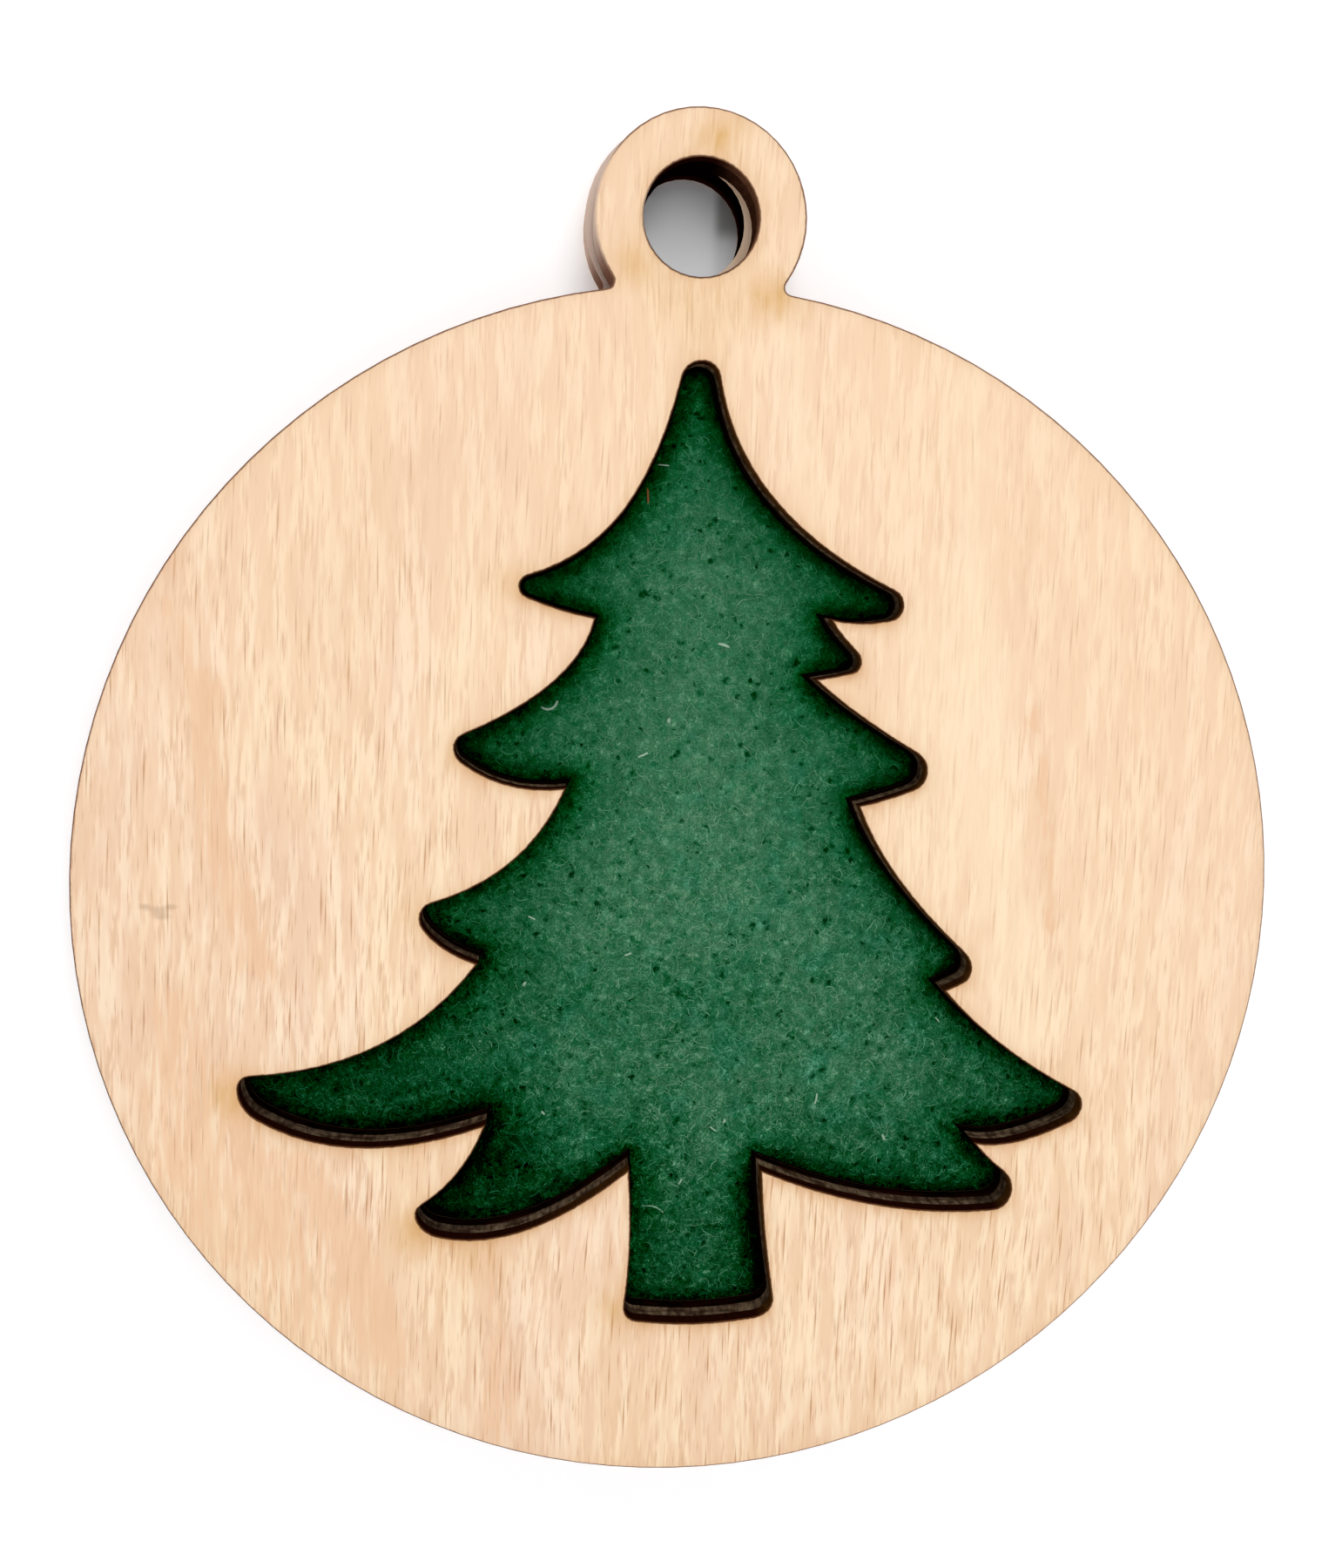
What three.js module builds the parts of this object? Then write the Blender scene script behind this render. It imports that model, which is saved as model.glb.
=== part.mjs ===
// Wooden Christmas ornament, laser cut from thin beech plywood.
// Two round panels with a hanging loop are glued face to face. The front one has a window in the
// shape of a fir tree, and a tree of felt lies in the window, glued to the back panel.
//
// Millimetres. X is to the right and Z is up, as the ornament hangs, and the tree faces -Y.
// The origin is the centre of the front panel's hanging hole, in the middle of the glue line.
import * as THREE from 'three';

// Plywood panel: its round outline and its three plies, from the outside inwards
const discDiameter = 67;
const faceVeneer = 0.95;
const coreVeneer = 1.1;
const innerVeneer = 0.95;

// Hanging loop: the hole, the wood round it, how far the loop's circle laps over the disc, and the
// radius of the fillets in the two necks between them
const hangingHole = 6.2;
const loopWall = 2.6;
const loopLap = 2.2;
const neckFillet = 0.4;

// Wood left between the disc's edge and the window, above the tree's top and below its foot
const windowTopBorder = 4;
const windowFootBorder = 8.9;

// Felt tree and its play in the window
const feltThickness = 0.8;
const feltClearance = 0.2;

// Glue, which stops short of the panels' edges
const glueFilm = 0.1;
const glueSetback = 0.6;

// The back panel was glued a little out of line
const backShiftLeft = 0.42;
const backShiftUp = 0.23;

// How far a facet may cut inside the curve it follows
const facetDepth = 0.012;

// The tree's edge, clockwise from its top, in shares of the window's height, from the middle of its
// foot line. Each row is one branch tip: the bend of the flank that leads to it, the two ends of
// its round, the bend of the flank that leaves it, and the notch or flank point that follows.
const treeEdgeShares = [
  [[-0.034, 0.901], [-0.015, 0.984], [0.022, 0.985], [0.033, 0.919], [0.079, 0.867]],
  [[0.126, 0.814], [0.207, 0.777], [0.204, 0.748], [0.17, 0.741], [0.142, 0.748]],
  [[0.149, 0.734], [0.17, 0.714], [0.167, 0.694], [0.147, 0.689], [0.128, 0.686]],
  [[0.165, 0.652], [0.237, 0.611], [0.235, 0.574], [0.207, 0.563], [0.178, 0.556]],
  [[0.206, 0.482], [0.296, 0.401], [0.295, 0.37], [0.286, 0.366], [0.276, 0.361]],
  [[0.33, 0.299], [0.422, 0.251], [0.419, 0.219], [0.356, 0.187], [0.315, 0.196]],
  [[0.329, 0.178], [0.348, 0.164], [0.339, 0.122], [0.217, 0.112], [0.087, 0.167]],
  [[0.09, 0.102], [0.103, 0.026], [0.084, 0.005], [0.053, 0], [0.02, -0.001]],
  [[-0.011, -0.001], [-0.042, 0.003], [-0.054, 0.019], [-0.045, 0.083], [-0.052, 0.169]],
  [[-0.164, 0.077], [-0.251, 0.098], [-0.268, 0.131], [-0.224, 0.159], [-0.202, 0.218]],
  [[-0.341, 0.168], [-0.436, 0.225], [-0.443, 0.269], [-0.293, 0.276], [-0.212, 0.388]],
  [[-0.25, 0.401], [-0.267, 0.424], [-0.26, 0.45], [-0.162, 0.479], [-0.124, 0.571]],
  [[-0.185, 0.563], [-0.23, 0.596], [-0.229, 0.623], [-0.112, 0.674], [-0.097, 0.744]],
  [[-0.133, 0.75], [-0.167, 0.764], [-0.166, 0.784], [-0.109, 0.801], [-0.071, 0.85]],
];

// Sizes worked out from those above
const discRadius = discDiameter / 2;
const holeRadius = hangingHole / 2;
const loopRadius = holeRadius + loopWall;
const holeToDisc = discRadius + loopRadius - loopLap;
const windowHeight = discDiameter - windowTopBorder - windowFootBorder;
const windowFootZ = windowFootBorder - discRadius - holeToDisc;
const holeMiddle = new THREE.Vector2(0, 0);
const discMiddle = new THREE.Vector2(0, -holeToDisc);

// Distances of the layers from the middle of the glue line
const glueFaceY = glueFilm / 2;
const innerFaceY = glueFaceY + innerVeneer;
const coreFaceY = innerFaceY + coreVeneer;
const outsideY = coreFaceY + faceVeneer;
const feltFaceY = glueFaceY + feltThickness;

const beech = new THREE.MeshStandardMaterial({ color: 0xf8dbba, roughness: 0.7, metalness: 0 });
const beechCore = new THREE.MeshStandardMaterial({ color: 0xd8b690, roughness: 0.8, metalness: 0 });
const greenFelt = new THREE.MeshStandardMaterial({ color: 0x1f6b48, roughness: 1, metalness: 0 });
const driedGlue = new THREE.MeshStandardMaterial({ color: 0xe6d8b8, roughness: 0.4, metalness: 0 });

// Straight pieces needed along a curve: each bulges by its length times its turn, divided by 8.
function stepsAlong(length, turn) {
  const steps = Math.ceil(Math.sqrt((length * turn) / (8 * facetDepth)));
  return Math.max(1, steps);
}

// Points of a curve without its last one, where the next curve starts.
function pointsOf(curve, turn) {
  return curve.getPoints(stepsAlong(curve.getLength(), turn)).slice(0, -1);
}

// Points of a circular arc without its last one, anticlockwise where it ends at the larger angle.
function arcPoints(centre, radius, from, to) {
  const arc = new THREE.EllipseCurve(centre.x, centre.y, radius, radius, from, to, to < from);
  return pointsOf(arc, Math.abs(to - from));
}

// One flank of a branch, bent towards the point bend.
function flankPoints(start, bend, end) {
  const turn = bend.clone().sub(start).angleTo(end.clone().sub(bend));
  return pointsOf(new THREE.QuadraticBezierCurve(start, bend, end), turn);
}

// The round of a branch tip. It runs on from the flanks on both sides, which would meet at corner.
function tipPoints(bendIn, tipIn, tipOut, bendOut) {
  const inbound = tipIn.clone().sub(bendIn);
  const outbound = tipOut.clone().sub(bendOut);
  const reach = tipOut.clone().sub(tipIn).cross(outbound) / inbound.cross(outbound);
  const corner = tipIn.clone().addScaledVector(inbound, reach);
  const spread = inbound.angleTo(outbound);
  const fullness = Math.sin(spread / 2);
  const pull = (4 * fullness) / (3 * (1 + fullness));
  const handleIn = tipIn.clone().lerp(corner, pull);
  const handleOut = tipOut.clone().lerp(corner, pull);
  return pointsOf(new THREE.CubicBezierCurve(tipIn, handleIn, handleOut, tipOut), Math.PI - spread);
}

// The tree-shaped outline of the window.
function windowOutline() {
  const place = ([across, up]) =>
    new THREE.Vector2(across * windowHeight, windowFootZ + up * windowHeight);
  const tips = treeEdgeShares.map((row) => row.map(place));
  let start = tips.at(-1).at(-1);
  return tips.flatMap(([bendIn, tipIn, tipOut, bendOut, notch]) => {
    const points = [
      ...flankPoints(start, bendIn, tipIn),
      ...tipPoints(bendIn, tipIn, tipOut, bendOut),
      ...flankPoints(tipOut, bendOut, notch),
    ];
    start = notch;
    return points;
  });
}

// An outline drawn in by a distance, with its corners kept as corners.
function insetOutline(outline, distance) {
  const inward = THREE.ShapeUtils.isClockWise(outline) ? -distance : distance;
  return outline.map((point, index) => {
    const next = outline[(index + 1) % outline.length];
    const alongIn = point.clone().sub(outline.at(index - 1)).normalize();
    const alongOut = next.clone().sub(point).normalize();
    const along = alongIn.clone().add(alongOut);
    const sideways = new THREE.Vector2(-along.y, along.x);
    return point.clone().addScaledVector(sideways, inward / (1 + alongIn.dot(alongOut)));
  });
}

// The angle between two sides of a triangle, from the lengths of the sides.
function angleBetween(sideA, sideB, opposite) {
  return Math.acos((sideA ** 2 + sideB ** 2 - opposite ** 2) / (2 * sideA * sideB));
}

// A panel's outer outline: the disc and the loop's circle, with a small fillet in each neck. The
// fillets' centres lie one fillet radius outside both circles.
function panelOutline(setback) {
  const discReach = discRadius + neckFillet;
  const loopReach = loopRadius + neckFillet;
  const discNeck = angleBetween(holeToDisc, discReach, loopReach);
  const loopNeck = angleBetween(holeToDisc, loopReach, discReach);
  const up = Math.PI / 2;
  const turn = 2 * Math.PI;
  const fillet = neckFillet + setback;
  const rightNeck = new THREE.Vector2(Math.sin(loopNeck), -Math.cos(loopNeck)).multiplyScalar(loopReach);
  const leftNeck = new THREE.Vector2(-rightNeck.x, rightNeck.y);
  return [
    ...arcPoints(discMiddle, discRadius - setback, up + discNeck, up + turn - discNeck),
    ...arcPoints(rightNeck, fillet, turn - up - discNeck, up + loopNeck),
    ...arcPoints(holeMiddle, loopRadius - setback, loopNeck - up, up + Math.PI - loopNeck),
    ...arcPoints(leftNeck, fillet, up - loopNeck, discNeck - up),
  ];
}

function holeOutline(setback) {
  return arcPoints(holeMiddle, holeRadius + setback, 0, 2 * Math.PI);
}

// A flat sheet of the given outline, less its cut-outs, from frontY back to backY.
function sheet(name, material, outline, cutouts, frontY, backY) {
  const shape = new THREE.Shape(outline);
  shape.holes = cutouts.map((points) => new THREE.Path(points));
  const geometry = new THREE.ExtrudeGeometry(shape, { depth: backY - frontY, bevelEnabled: false });
  const places = geometry.getAttribute('position');
  for (let index = 0; index < places.count; index += 1) {
    const y = places.getZ(index) > 0 ? frontY : backY;
    places.setXYZ(index, places.getX(index), y, places.getY(index));
  }
  geometry.computeVertexNormals();
  const mesh = new THREE.Mesh(geometry, material);
  mesh.name = name;
  return mesh;
}

// The front panel's three plies, each with the hanging hole and the window.
function frontPanel() {
  const outline = panelOutline(0);
  const cutouts = [holeOutline(0), windowOutline()];
  const panel = new THREE.Group();
  panel.add(
    sheet('front_face_veneer', beech, outline, cutouts, -outsideY, -coreFaceY),
    sheet('front_core_veneer', beechCore, outline, cutouts, -coreFaceY, -innerFaceY),
    sheet('front_inner_veneer', beech, outline, cutouts, -innerFaceY, -glueFaceY),
  );
  return panel;
}

// The back panel's three plies, whole but for the hanging hole.
function backPanel() {
  const outline = panelOutline(0);
  const cutouts = [holeOutline(0)];
  const panel = new THREE.Group();
  panel.add(
    sheet('back_inner_veneer', beech, outline, cutouts, glueFaceY, innerFaceY),
    sheet('back_core_veneer', beechCore, outline, cutouts, innerFaceY, coreFaceY),
    sheet('back_face_veneer', beech, outline, cutouts, coreFaceY, outsideY),
  );
  panel.position.set(-backShiftLeft, 0, backShiftUp);
  return panel;
}

// The glue between the two panels, open at the window and set back from every edge outside it.
function panelGlue() {
  const cutouts = [holeOutline(glueSetback), windowOutline()];
  return sheet('panel_glue_film', driedGlue, panelOutline(glueSetback), cutouts, -glueFaceY, glueFaceY);
}

// The felt tree in the window, on its own film of glue.
function feltTree() {
  const outline = insetOutline(windowOutline(), feltClearance);
  const tree = new THREE.Group();
  tree.add(
    sheet('felt_insert', greenFelt, outline, [], -feltFaceY, -glueFaceY),
    sheet('felt_glue_film', driedGlue, outline, [], -glueFaceY, glueFaceY),
  );
  return tree;
}

const ornament = new THREE.Group();
ornament.add(frontPanel(), feltTree(), panelGlue(), backPanel());

export default ornament;
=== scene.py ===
"""Looks of the wooden Christmas ornament: charred beech plies, green felt, and a white card behind.

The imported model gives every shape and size. Lengths below are millimetres unless a name says otherwise.
X is to the right, Z is up as the ornament hangs, and its tree faces -Y.
"""

import math

import bpy
import numpy as np
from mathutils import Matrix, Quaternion, Vector
from mathutils.geometry import delaunay_2d_cdt
from mathutils.kdtree import KDTree

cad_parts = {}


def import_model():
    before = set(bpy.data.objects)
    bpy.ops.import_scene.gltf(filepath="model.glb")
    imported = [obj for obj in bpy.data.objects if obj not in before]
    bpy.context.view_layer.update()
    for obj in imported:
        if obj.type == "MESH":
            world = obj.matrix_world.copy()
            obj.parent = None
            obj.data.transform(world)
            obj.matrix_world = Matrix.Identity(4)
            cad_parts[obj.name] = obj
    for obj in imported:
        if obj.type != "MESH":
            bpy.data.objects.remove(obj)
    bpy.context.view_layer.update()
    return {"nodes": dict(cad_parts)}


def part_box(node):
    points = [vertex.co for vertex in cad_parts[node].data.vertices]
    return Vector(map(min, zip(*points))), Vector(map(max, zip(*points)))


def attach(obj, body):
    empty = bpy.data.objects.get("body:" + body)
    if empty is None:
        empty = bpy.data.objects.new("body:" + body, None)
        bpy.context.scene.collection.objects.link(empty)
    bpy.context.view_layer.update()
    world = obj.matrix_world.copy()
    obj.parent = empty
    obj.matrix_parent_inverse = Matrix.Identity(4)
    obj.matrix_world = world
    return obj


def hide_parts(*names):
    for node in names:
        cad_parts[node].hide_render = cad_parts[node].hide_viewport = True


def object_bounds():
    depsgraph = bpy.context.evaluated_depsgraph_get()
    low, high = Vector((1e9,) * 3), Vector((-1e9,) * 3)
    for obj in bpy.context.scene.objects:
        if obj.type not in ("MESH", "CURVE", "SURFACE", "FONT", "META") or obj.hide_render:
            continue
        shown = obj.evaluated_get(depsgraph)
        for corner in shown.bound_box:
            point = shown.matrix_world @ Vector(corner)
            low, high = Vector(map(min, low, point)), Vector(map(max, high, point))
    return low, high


MM = 0.001

# Camera: where it stands, the point of the front face it looks at, how far it leans to the left, and
# its lens and sensor
CAMERA_PLACE = (-8.88, -93.66, -19.89)
CAMERA_AIM = (-0.94, -3.05, -30.42)
CAMERA_ROLL_DEGREES = 1.32
LENS = 38
LONG_SENSOR_SIDE = 36

# White card behind the ornament, the reach within which light passes through it, and the floor below
CARD_GAP = 0.05
CARD_HALF_WIDTH = 400
CARD_TOP = 400
CARD_CLEAR_REACH = 1.0
FLOOR_DROP = 14
FLOOR_DEPTH = 800

# Their colours: all over, grey behind the hole as painted shade, and darker at the hole's right as a
# painted shadow; and how much the card glows all over and, as painted light, low behind the hole
CARD_WHITE = (0.93, 0.93, 0.94, 1.0)
CARD_PAINTED_SHADE = (0.78, 0.78, 0.79, 1.0)
CARD_PAINTED_SHADOW = (0.33, 0.33, 0.32, 1.0)
FLOOR_WHITE = (0.9, 0.9, 0.91, 1.0)
CARD_GLOW = 0.2
CARD_PAINTED_LOW_LIGHT = 0.19

# Light: the world's colour and strength, and the name, place, size and strength of each lamp
WHITE = (1.0, 1.0, 1.0, 1.0)
WORLD_LIGHT = 0.38
LAMPS = (
    ("key", (60, -560, 90), 260, 0.38),
    ("top_light", (0, -230, 480), 300, 0.24),
    ("back_light", (-100, 420, 300), 400, 0.5),
)

# Smooth shading: the angle from which an edge stays sharp, and how close points are joined
SHARP_DEGREES = 35
WELD_DISTANCE = 0.0005

# A length that counts as none, in metres or millimetres, and a shade that does
TINY = 1e-6
LEAST_SHADE = 1e-12

# Edges of the face plies: their burnt arris at the rim, the hole and the window, and the distances
# at which the mesh follows them
ARRISES = (0.1, 0.04, 0.07)
EDGE_RINGS = (0.2, 0.4, 0.7, 1.1, 1.7)

# Mesh points inside the edges: their spacing on a face ply, how unevenly they lie as a share of it,
# and how near a ring's points may come to any edge, as a share of the ring's distance
FACE_GRID = 0.8
GRID_UNEVEN = 0.3
RING_KEPT_SHARE = 0.93

# How far the scorching reaches in from a cut, how strong it and the burnt walls are at the rim, the
# hole and the window, and the share of it beside and above the window
SCORCH_REACH = 0.4
SCORCH_SHARES = (0.27, 0.45, 1.0)
SCORCH_SIDE_SHARE = 0.45
BURN_SHARES = (0.3, 0.55, 1.0)

# Felt: the spacing of its mesh, the distances at which this follows the edge, how thin and how wide the
# melted edge is, how wide a rim has no lumps, and the spacing and size of the lumps
FELT_GRID = 0.26
FELT_EDGE_RINGS = (0.07, 0.2)
FELT_EDGE_SHARE = 0.4
FELT_EDGE_WIDTH = 1.1
FELT_CALM_WIDTH = 0.3
FELT_LUMPS = ((1.6, 0.05), (0.6, 0.05))

# Felt's brightness at distances from the walls, as the green of its colour out of 255, with painted
# shade and the melted edge's darkness towards the walls, and the share of the light that the walls
# leave it, by which the colour is divided
FELT_SHADED_GREENS = ((0.0, 16), (0.3, 50), (0.7, 74), (1.2, 91), (1.8, 102), (2.8, 111), (4.4, 119), (7.2, 126))
FELT_LIGHT = ((0.0, 0.45), (0.5, 0.65), (1.2, 0.85), (3.0, 1.0))

# A wall's shade on the felt: how far it spreads, the step at which it is summed along the walls, the
# share that this sum has beside the nearest wall's, and how much less of it falls to a wall's left
# and below it, where negative is more
WALL_SPREAD = 0.8
WALL_STEP = 0.25
WALL_SUM_SHARE = 0.6
WALL_LEAN = (0.25, -0.15)

# A long straight wall with which the sum is compared: half its length, and the distances tried
LONG_WALL = 12
LONG_WALL_REACHES = (0.01, 30, 200)

# Darker parts of the felt, partly its own darker patches and partly painted shade beside the walls, and
# brighter ones, which are negative, painted light beside the walls: how much less green each has, its
# width and its points
FELT_SHADES = (
    (26, 4, ((-25, -49), (-16, -49))),
    (49, 3, ((-16, -54.5), (-10, -53))),
    (14, 3.5, ((-19, -47), (-10, -41))),
    (9, 3.5, ((-11, -48), (-7, -45), (4, -44))),
    (30, 1, ((4.6, -54.5), (4.6, -56), (5.2, -60))),
    (-14, 1.2, ((-5.5, -52.2), (-2.6, -52.6))),
    (-16, 1.2, ((2.8, -52), (5, -51.6))),
    (12, 5, ((-10, -52), (3, -56), (16, -51))),
    (6, 4, ((-5, -43), (8, -43))),
    (16, 3, ((-1, -59.5), (5, -58))),
    (6, 3, ((15, -53), (20, -50))),
    (-20, 0.8, ((-2.6, -54), (-2.4, -59.5))),
    (-7, 2, ((-9, -19.2), (-7, -19))),
    (7, 2, ((-11.5, -28.2), (-9.5, -27.6))),
)

# Where the felt has more teal in it, or less: how much, width and the points of each
FELT_TEALS = (
    (-0.8, 6, ((-3, -20), (-5, -36))),
    (1, 4, ((-20, -48), (-10, -47), (-8, -51))),
    (0.6, 3, ((14, -51), (20, -50))),
)

# Pits between the felt's tufts: how many lie on a square millimetre, their radii, strengths, which set
# how deep each is and how dark its painted shade, depth as a share of the radius and ragged rims, their
# distance from the edge, and the mesh's rings in each
PIT_DENSITY = 1.1
PIT_RADII = (0.08, 0.3)
PIT_STRENGTHS = (0.3, 1.0)
PIT_DEPTH = 0.8
PIT_RAGGED = (0.28, 0.13)
PIT_EDGE_GAP = 0.5
PIT_MESH_RINGS = ((0.55, 6), (1.0, 9))

# Loose strands on the felt, in two layers: how many lie in each and how many are tried for one, then
# the shape of each, its arch and how deep its ends sink, in radii, and what it keeps clear of
STRAND_COUNT = 7200
STRAND_TRIES = 4
STRAND_STEPS = 4
STRAND_SIDES = 3
STRAND_LENGTHS = (0.35, 1.2)
STRAND_RADII = (0.014, 0.032)
STRAND_CURL = 2.6
STRAND_WANDER = 0.6
STRAND_ARCH = 2.4
STRAND_SINK = 0.6
STRAND_EDGE_GAP = 0.3
STRAND_PIT_SHARE = 0.25

# Toasted spots on the front face: x, z, radius and strength
TOASTED_SPOTS = (
    (0, 0, 4.4, 0.12),
    (0.7, 4.1, 1, 0.75),
    (1.5, 5, 0.9, 0.35),
    (-3.6, -2.6, 1.2, 0.5),
    (4, -4, 1.1, 0.95),
    (0.2, -4.4, 2.4, 0.3),
    (-24.9, -48.2, 1.3, 0.75),
    (-15, -56, 1.2, 0.8),
    (-3.2, -60.6, 1.3, 0.55),
    (-11, -57.2, 2.4, 0.3),
    (-9.7, -19.6, 0.9, 0.4),
    (-12.9, -28.9, 0.9, 0.3),
    (-14.8, -37.8, 0.9, 0.35),
)

# Bands in the front face's veneer: strength, width and points of each. Those of positive strength are
# pinkish brown, and those of negative strength are pale.
WOOD_BANDS = (
    (0.7, 0.9, ((-28.4, -18.9), (-27.4, -23), (-26.3, -26))),
    (1, 1.1, ((-26.3, -26), (-26, -31), (-25.6, -33.5), (-24.6, -36.4), (-23.4, -41))),
    (1, 0.9, ((-21, -52), (-19.3, -55.3), (-18, -57.3), (-16.1, -63.5))),
    (0.6, 1, ((-24.7, -47.2), (-23.8, -51.7), (-22.4, -56.2))),
    (0.45, 2.2, ((-27.6, -44), (-27, -51.2), (-25.4, -55.7))),
    (0.5, 0.8, ((-11, -57.6), (-10.2, -63.6), (-10, -68))),
    (0.6, 0.5, ((18.2, -12), (18.8, -21), (19.4, -26.5))),
    (1.3, 0.7, ((19.4, -26.5), (20.2, -31), (20.9, -38))),
    (0.6, 0.5, ((20.9, -38), (21.9, -43), (22.6, -49), (23, -55))),
    (0.3, 5, ((-20, -60), (-5, -68), (9, -68))),
    (0.35, 4, ((-31, -35), (-29, -50))),
    (0.35, 4, ((-24, -54), (-21, -60))),
    (0.4, 4.5, ((-14, -13), (-19, -20))),
    (0.3, 2.6, ((30, -34), (29, -50))),
    (-0.8, 0.9, ((14.7, -7.7), (15.8, -20.5), (16.5, -30.2), (19.5, -45.3))),
    (-0.9, 0.8, ((4.9, -5.7), (5.7, -11.3), (6.3, -15))),
    (-0.7, 2.6, ((12.9, -21.5), (13.4, -33.2))),
    (-0.6, 2.6, ((17.5, -24), (18.3, -33), (22, -44))),
    (-0.4, 2, ((-11.8, -22.5), (-16, -31))),
    (-0.5, 2.6, ((13.5, -37), (16.5, -46))),
)

# Grey-brown smudge on the front face: x, z, and how far it reaches across and up, then the margin and
# spacing of the mesh's points at it
SMUDGE = (
    (-29.5, -37.5, 0.35, 0.18),
    (-28.75, -37.7, 0.5, 0.25),
    (-28.05, -37.5, 0.35, 0.16),
    (-28.6, -38.05, 0.5, 0.2),
)
SMUDGE_MARGIN = 0.8
SMUDGE_GRID = 0.13

# Lint on the felt, and one brown fibre: x, z, length, heading in degrees, turn in degrees and radius
# of each, and the straight steps of all
LINT = (
    (-8.2, -26.4, 1.35, 315, 135, 0.085),
    (1.7, -22.7, 0.75, 350, -14, 0.09),
    (-0.97, -27.2, 0.26, 80, 0, 0.11),
    (-2.7, -29.2, 0.7, 24, 0, 0.07),
    (-1.9, -12.85, 0.7, 353, 0, 0.045),
    (-8.75, -38.35, 0.5, 350, -30, 0.05),
    (-3.2, -40.6, 0.45, 30, -20, 0.06),
    (-8.95, -42.35, 0.25, 55, 0, 0.09),
    (15.05, -44.2, 0.4, 315, 0, 0.05),
    (8.1, -49.4, 0.72, 77, 5, 0.06),
    (-7.8, -49.75, 0.27, 315, 0, 0.06),
    (2.75, -50.5, 0.25, 60, 0, 0.07),
    (1.95, -50.7, 0.55, 325, 0, 0.045),
    (12.35, -51.6, 0.38, 110, 0, 0.09),
    (0.2, -54.2, 0.4, 56, 0, 0.05),
    (-1.9, -55.6, 1.5, 32, -95, 0.026),
)
BROWN_FIBRE = (-2.4, -14.1, 1, 268, 8, 0.07)
LINT_STEPS = 9

# Random draws: the cells that a noise repeats after, each way, and the seeds
NOISE_CELLS = 64
FACE_GRID_SEED = 3
FELT_GRID_SEED = 4
PIT_SEED = 30
PIT_RAGGED_SEEDS = (20, 21)
LUMP_SEEDS = (10, 11)
STRAND_SEEDS = (1, 2)

# Tints of the wood's broadest patches
YELLOWISH = (1.005, 1.005, 0.98, 1.0)
ROSY = (0.995, 0.992, 1.015, 1.0)

# How far the wood's grain leans to the right
GRAIN_LEAN_DEGREES = 1.2

# Middles of the hole and the disc, the loop's left neck and side, and the radii of three zones: inside
# the disc's rim, round the window and round the hole
HOLE_MIDDLE = (0.0, 0.0)
DISC_MIDDLE = (0.0, -37.0)
LEFT_NECK = (-4.4, -4.1)
LOOP_LEFT = (-6.2, 0.5)
DISC_ZONE = 33.0
WINDOW_ZONE = 31.0
HOLE_ZONE = 4.6


def smooth(share):
    """A soft step from 0 to 1."""
    share = np.clip(share, 0, 1)
    return share * share * (3 - 2 * share)


def value_noise(points, spacing, seed):
    """Soft random heights from -1 to 1 at 2-D points, with hills about spacing across."""
    table = np.random.default_rng(seed).uniform(-1, 1, (NOISE_CELLS, NOISE_CELLS))
    cell = np.floor(points / spacing).astype(int)
    across, up = smooth(points / spacing - cell).T
    x, z = cell.T % NOISE_CELLS
    next_x, next_z = (cell.T + 1) % NOISE_CELLS
    bottom = table[x, z] * (1 - across) + table[next_x, z] * across
    top = table[x, next_z] * (1 - across) + table[next_x, next_z] * across
    return bottom * (1 - up) + top * up


def signed_area(loop):
    """The area inside a closed outline, negative where it runs clockwise."""
    x, z = loop.T
    return 0.5 * (np.dot(x, np.roll(z, -1)) - np.dot(z, np.roll(x, -1)))


def outlines(node):
    """A flat CAD sheet's closed outlines, the widest first and then by width, the sheet on their left."""
    mesh = frame["nodes"][node].data
    front = min(v.co.y for v in mesh.vertices)
    onward = {}
    for face in mesh.polygons:
        if abs(face.normal.y) > 0.5:
            continue
        corners = [mesh.vertices[i].co for i in face.vertices]
        for start, end in zip(corners, corners[1:] + corners[:1]):
            if max(start.y, end.y) - front < TINY:
                first, second = (tuple(round(c / MM, 4) for c in (p.x, p.z)) for p in (start, end))
                onward[second] = first
    loops = []
    while onward:
        point = next(iter(onward))
        loop = []
        while point in onward:
            loop.append(point)
            point = onward.pop(point)
        loops.append(np.array(loop))
    loops.sort(key=lambda loop: np.ptp(loop[:, 0]))
    loops = loops[-1:] + loops[:-1]
    return loops if signed_area(loops[0]) > 0 else [loop[::-1] for loop in loops]


def drawn_in(loop, distance):
    """The outline moved to its left, into the sheet, with its corners kept."""
    along = np.roll(loop, -1, 0) - loop
    along /= np.linalg.norm(along, axis=1)[:, None]
    before = np.roll(along, 1, 0)
    left = np.column_stack([-(along + before)[:, 1], (along + before)[:, 0]])
    return loop + left * (distance / (1 + (along * before).sum(1)))[:, None]


def segment_gaps(points, line):
    """The vectors from the points to the nearest place on each segment of an open line."""
    for start, end in zip(line[:-1], line[1:]):
        along = end - start
        share = np.clip((points - start) @ along / (along @ along), 0, 1)
        yield start + share[:, None] * along - points


def line_distances(points, line):
    """The distance from each point to the nearest part of an open line."""
    nearest = np.full(len(points), np.inf)
    for gap in segment_gaps(points, line):
        nearest = np.minimum(nearest, np.hypot(*gap.T))
    return nearest


def loop_distances(points, loops):
    """The distance from each point to each closed outline."""
    return np.array([line_distances(points, np.vstack([loop, loop[:1]])) for loop in loops])


def edge_distances(points, loops):
    """The distance from each point to the nearest outline."""
    return loop_distances(points, loops).min(0)


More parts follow.
